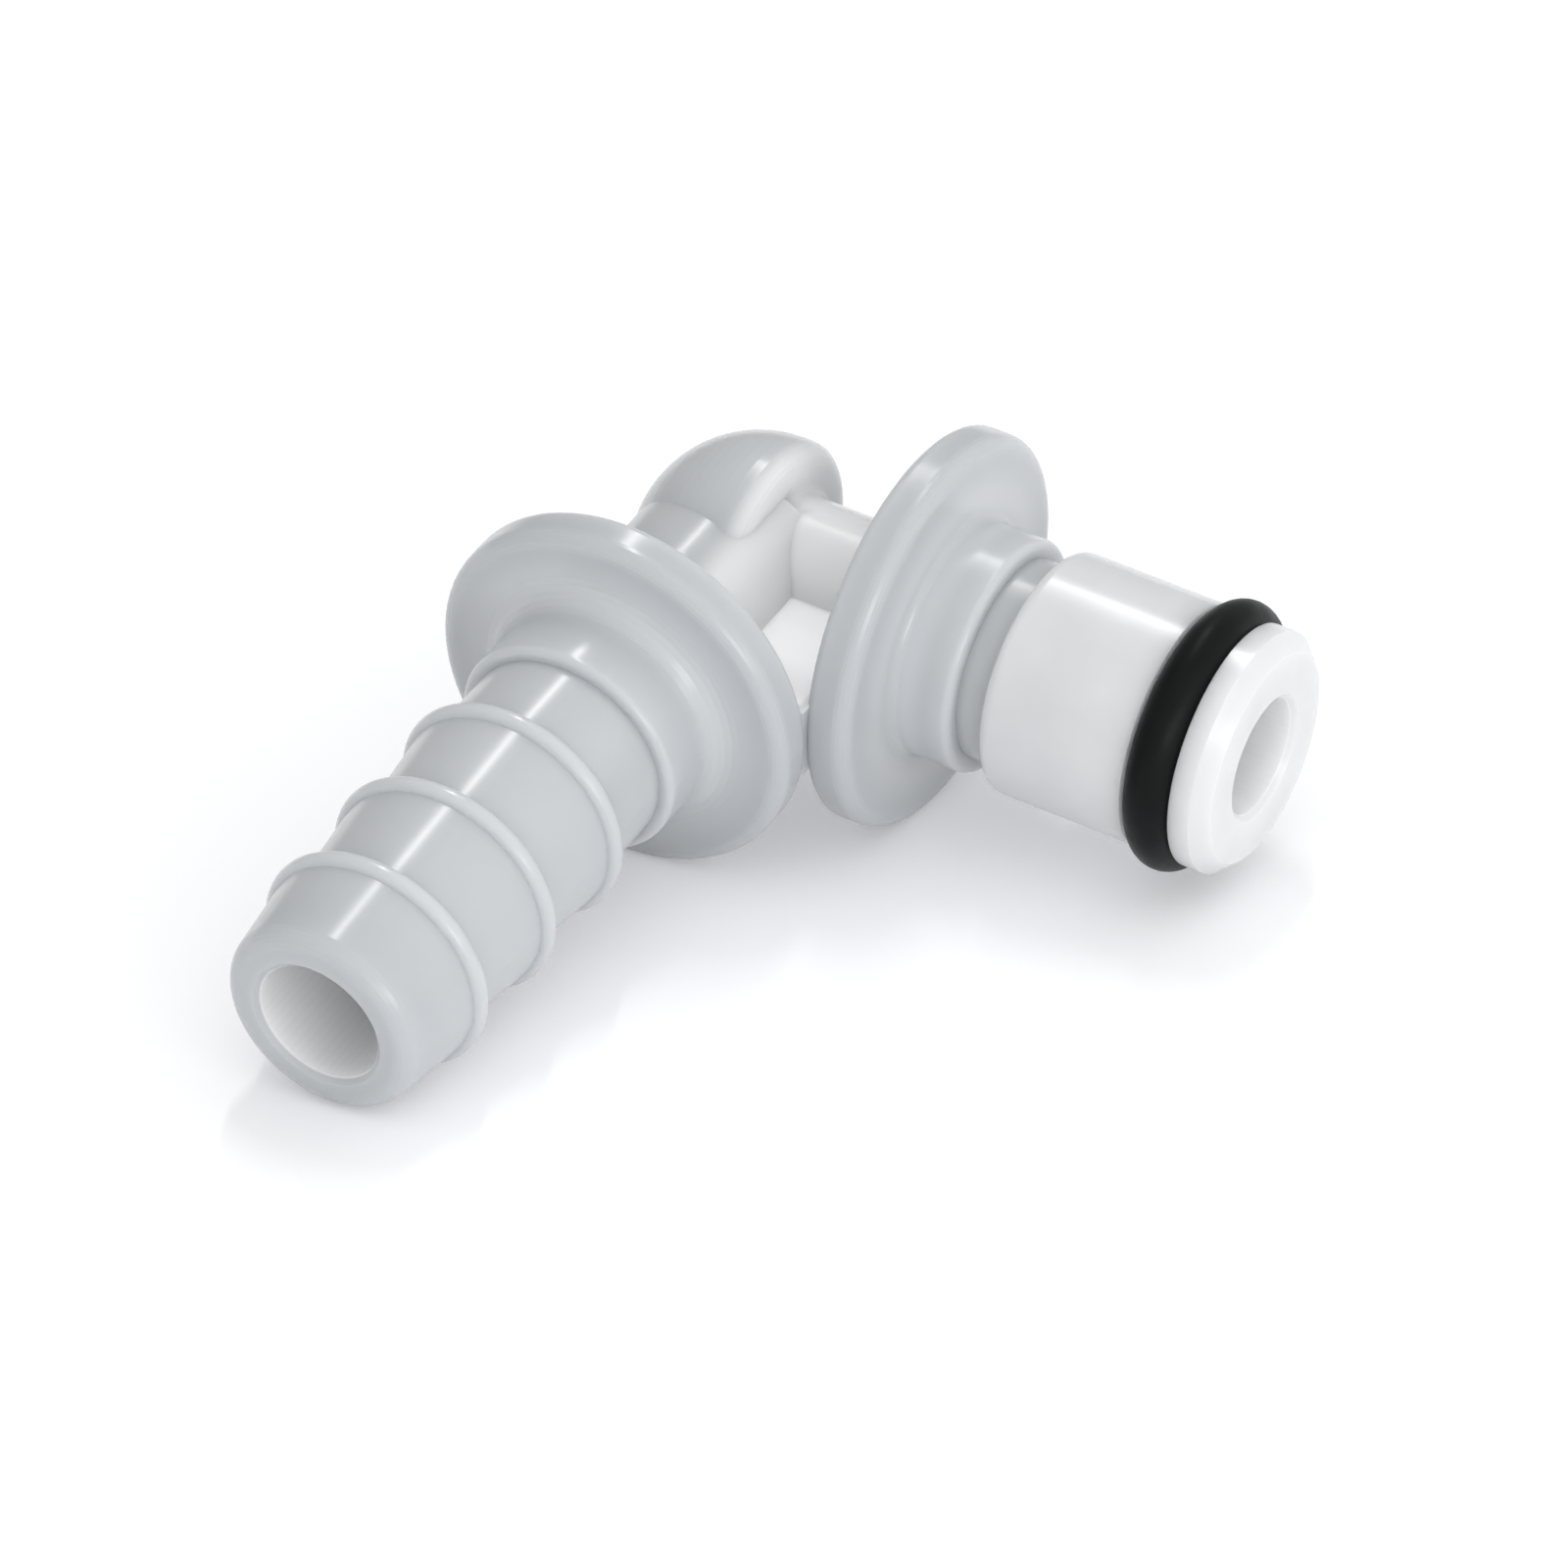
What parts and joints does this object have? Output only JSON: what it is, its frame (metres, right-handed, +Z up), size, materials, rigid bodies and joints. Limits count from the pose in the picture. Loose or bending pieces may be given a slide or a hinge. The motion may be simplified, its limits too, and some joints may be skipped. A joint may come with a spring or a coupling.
{
  "type": "hose coupling elbow insert",
  "caption": "Right-angle plug of a plastic quick hose coupling, with a hose barb, round flanges, a latch groove and an O-ring on its nose.",
  "frame": {"origin": "centre of the bounding box on the surface that the part lies on", "axes": "+Z up from that surface, the nose points along +X and dips towards it, the barb points along -Y and dips too"},
  "size_m": [0.0396, 0.0494, 0.0204],
  "materials": {
    "body": "milky grey moulded polypropylene, slightly translucent, satin",
    "seal": "black rubber, satin"
  },
  "bodies": {
    "root": {"elbow_body": "body", "o_ring": "seal"}
  },
  "joints": []
}
